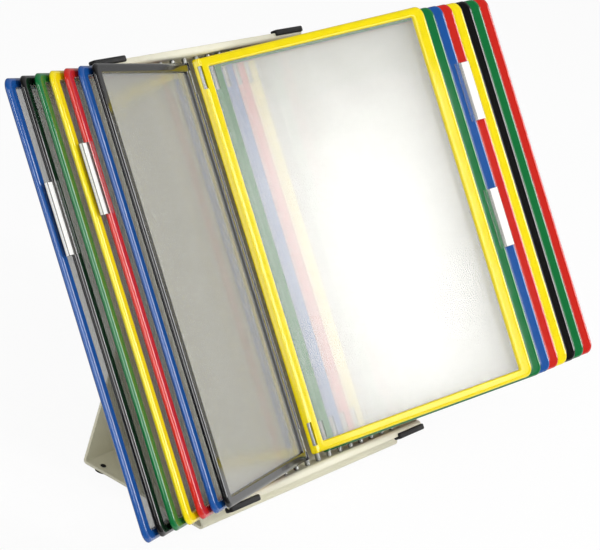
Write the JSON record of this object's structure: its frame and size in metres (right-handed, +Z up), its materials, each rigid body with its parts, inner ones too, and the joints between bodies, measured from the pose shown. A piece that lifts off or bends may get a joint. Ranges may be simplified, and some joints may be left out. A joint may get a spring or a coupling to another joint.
{
  "type": "desk pocket display stand",
  "caption": "Leaning desk stand whose coloured document pockets swing like pages on steel rods between two rails.",
  "frame": {"origin": "on the desk, under the middle of the whole stand's box", "axes": "+X to the right of a reader who faces the stand, +Y away from the reader, +Z up"},
  "size_m": [0.6596, 0.2706, 0.3188],
  "materials": {
    "blue_pvc": "welded soft PVC border, glossy",
    "black_pvc": "welded soft PVC border, glossy",
    "green_pvc": "welded soft PVC border, glossy",
    "yellow_pvc": "welded soft PVC border, glossy",
    "red_pvc": "welded soft PVC border, glossy",
    "clear_film": "clear glossy PVC film, slightly hazy",
    "bright_steel": "bright zinc-plated steel rod",
    "clear_tab": "clear plastic holder with a white paper insert",
    "coated_steel": "light beige-grey powder coat, satin",
    "black_rubber": "matt black rubber"
  },
  "bodies": {
    "stand": {"rack": "coated_steel", "foot": "coated_steel", "buffer_top_left": "black_rubber", "buffer_top_right": "black_rubber", "buffer_bottom_left": "black_rubber", "buffer_bottom_right": "black_rubber", "pad_front_left": "black_rubber", "pad_front_right": "black_rubber", "pad_rear_left": "black_rubber", "pad_rear_right": "black_rubber"},
    "pocket_01": {"border_01_blue": "blue_pvc", "sleeve_01": "clear_film", "rod_01": "bright_steel"},
    "pocket_02": {"border_02_black": "black_pvc", "sleeve_02": "clear_film", "rod_02": "bright_steel"},
    "pocket_03": {"border_03_green": "green_pvc", "sleeve_03": "clear_film", "rod_03": "bright_steel"},
    "pocket_04": {"border_04_yellow": "yellow_pvc", "sleeve_04": "clear_film", "rod_04": "bright_steel"},
    "pocket_05": {"border_05_red": "red_pvc", "sleeve_05": "clear_film", "rod_05": "bright_steel"},
    "pocket_06": {"border_06_blue": "blue_pvc", "sleeve_06": "clear_film", "rod_06": "bright_steel"},
    "pocket_07": {"border_07_black": "black_pvc", "sleeve_07": "clear_film", "rod_07": "bright_steel"},
    "pocket_08": {"border_08_yellow": "yellow_pvc", "sleeve_08": "clear_film", "rod_08": "bright_steel"},
    "pocket_09": {"border_09_green": "green_pvc", "sleeve_09": "clear_film", "rod_09": "bright_steel"},
    "pocket_10": {"border_10_blue": "blue_pvc", "sleeve_10": "clear_film", "rod_10": "bright_steel"},
    "pocket_11": {"border_11_red": "red_pvc", "sleeve_11": "clear_film", "rod_11": "bright_steel"},
    "pocket_12": {"border_12_yellow": "yellow_pvc", "sleeve_12": "clear_film", "rod_12": "bright_steel"},
    "pocket_13": {"border_13_black": "black_pvc", "sleeve_13": "clear_film", "rod_13": "bright_steel"},
    "pocket_14": {"border_14_green": "green_pvc", "sleeve_14": "clear_film", "rod_14": "bright_steel"},
    "pocket_15": {"border_15_red": "red_pvc", "sleeve_15": "clear_film", "rod_15": "bright_steel"},
    "index_tab_02": {"tab_02": "clear_tab"},
    "index_tab_05": {"tab_05": "clear_tab"},
    "index_tab_09": {"tab_09": "clear_tab"},
    "index_tab_10": {"tab_10": "clear_tab"}
  },
  "joints": [
    {"name": "swing_01", "type": "hinge", "parent": "stand", "child": "pocket_01", "pos_m": [-0.1106, -0.07627, 0.02886], "axis": [0, -0.6293, -0.7771], "range_deg": [-141.6, 0]},
    {"name": "swing_02", "type": "hinge", "parent": "stand", "child": "pocket_02", "pos_m": [-0.0948, -0.07627, 0.02886], "axis": [0, -0.6293, -0.7771], "range_deg": [-141.6, 0]},
    {"name": "swing_03", "type": "hinge", "parent": "stand", "child": "pocket_03", "pos_m": [-0.079, -0.07627, 0.02886], "axis": [0, -0.6293, -0.7771], "range_deg": [-141.6, 0]},
    {"name": "swing_04", "type": "hinge", "parent": "stand", "child": "pocket_04", "pos_m": [-0.0632, -0.07627, 0.02886], "axis": [0, -0.6293, -0.7771], "range_deg": [-141.6, 0]},
    {"name": "swing_05", "type": "hinge", "parent": "stand", "child": "pocket_05", "pos_m": [-0.0474, -0.07627, 0.02886], "axis": [0, -0.6293, -0.7771], "range_deg": [-141.6, 0]},
    {"name": "swing_06", "type": "hinge", "parent": "stand", "child": "pocket_06", "pos_m": [-0.0316, -0.07627, 0.02886], "axis": [0, -0.6293, -0.7771], "range_deg": [-141.6, 0]},
    {"name": "swing_07", "type": "hinge", "parent": "stand", "child": "pocket_07", "pos_m": [-0.0158, -0.07627, 0.02886], "axis": [0, -0.6293, -0.7771], "range_deg": [-141.6, 0]},
    {"name": "swing_08", "type": "hinge", "parent": "stand", "child": "pocket_08", "pos_m": [0, -0.07627, 0.02886], "axis": [0, -0.6293, -0.7771], "range_deg": [0, 141.6]},
    {"name": "swing_09", "type": "hinge", "parent": "stand", "child": "pocket_09", "pos_m": [0.0158, -0.07627, 0.02886], "axis": [0, -0.6293, -0.7771], "range_deg": [0, 141.6]},
    {"name": "swing_10", "type": "hinge", "parent": "stand", "child": "pocket_10", "pos_m": [0.0316, -0.07627, 0.02886], "axis": [0, -0.6293, -0.7771], "range_deg": [0, 141.6]},
    {"name": "swing_11", "type": "hinge", "parent": "stand", "child": "pocket_11", "pos_m": [0.0474, -0.07627, 0.02886], "axis": [0, -0.6293, -0.7771], "range_deg": [0, 141.6]},
    {"name": "swing_12", "type": "hinge", "parent": "stand", "child": "pocket_12", "pos_m": [0.0632, -0.07627, 0.02886], "axis": [0, -0.6293, -0.7771], "range_deg": [0, 141.6]},
    {"name": "swing_13", "type": "hinge", "parent": "stand", "child": "pocket_13", "pos_m": [0.079, -0.07627, 0.02886], "axis": [0, -0.6293, -0.7771], "range_deg": [0, 141.6]},
    {"name": "swing_14", "type": "hinge", "parent": "stand", "child": "pocket_14", "pos_m": [0.0948, -0.07627, 0.02886], "axis": [0, -0.6293, -0.7771], "range_deg": [0, 141.6]},
    {"name": "swing_15", "type": "hinge", "parent": "stand", "child": "pocket_15", "pos_m": [0.1106, -0.07627, 0.02886], "axis": [0, -0.6293, -0.7771], "range_deg": [0, 141.6]},
    {"name": "tab_slide_02", "type": "slide", "parent": "pocket_02", "child": "index_tab_02", "axis": [0, 0.6293, 0.7771], "range_m": [-0.1805, 0.0615]},
    {"name": "tab_slide_05", "type": "slide", "parent": "pocket_05", "child": "index_tab_05", "axis": [0, 0.6293, 0.7771], "range_m": [-0.2005, 0.0415]},
    {"name": "tab_slide_09", "type": "slide", "parent": "pocket_09", "child": "index_tab_09", "axis": [0, 0.6293, 0.7771], "range_m": [-0.0965, 0.1455]},
    {"name": "tab_slide_10", "type": "slide", "parent": "pocket_10", "child": "index_tab_10", "axis": [0, 0.6293, 0.7771], "range_m": [-0.2015, 0.0405]}
  ],
  "couplings": [
    {"joint": "swing_01", "follows": "swing_07", "ratio": 1},
    {"joint": "swing_02", "follows": "swing_07", "ratio": 1},
    {"joint": "swing_03", "follows": "swing_07", "ratio": 1},
    {"joint": "swing_04", "follows": "swing_07", "ratio": 1},
    {"joint": "swing_05", "follows": "swing_07", "ratio": 1},
    {"joint": "swing_06", "follows": "swing_07", "ratio": 1},
    {"joint": "swing_09", "follows": "swing_08", "ratio": 1},
    {"joint": "swing_10", "follows": "swing_08", "ratio": 1},
    {"joint": "swing_11", "follows": "swing_08", "ratio": 1},
    {"joint": "swing_12", "follows": "swing_08", "ratio": 1},
    {"joint": "swing_13", "follows": "swing_08", "ratio": 1},
    {"joint": "swing_14", "follows": "swing_08", "ratio": 1},
    {"joint": "swing_15", "follows": "swing_08", "ratio": 1}
  ]
}
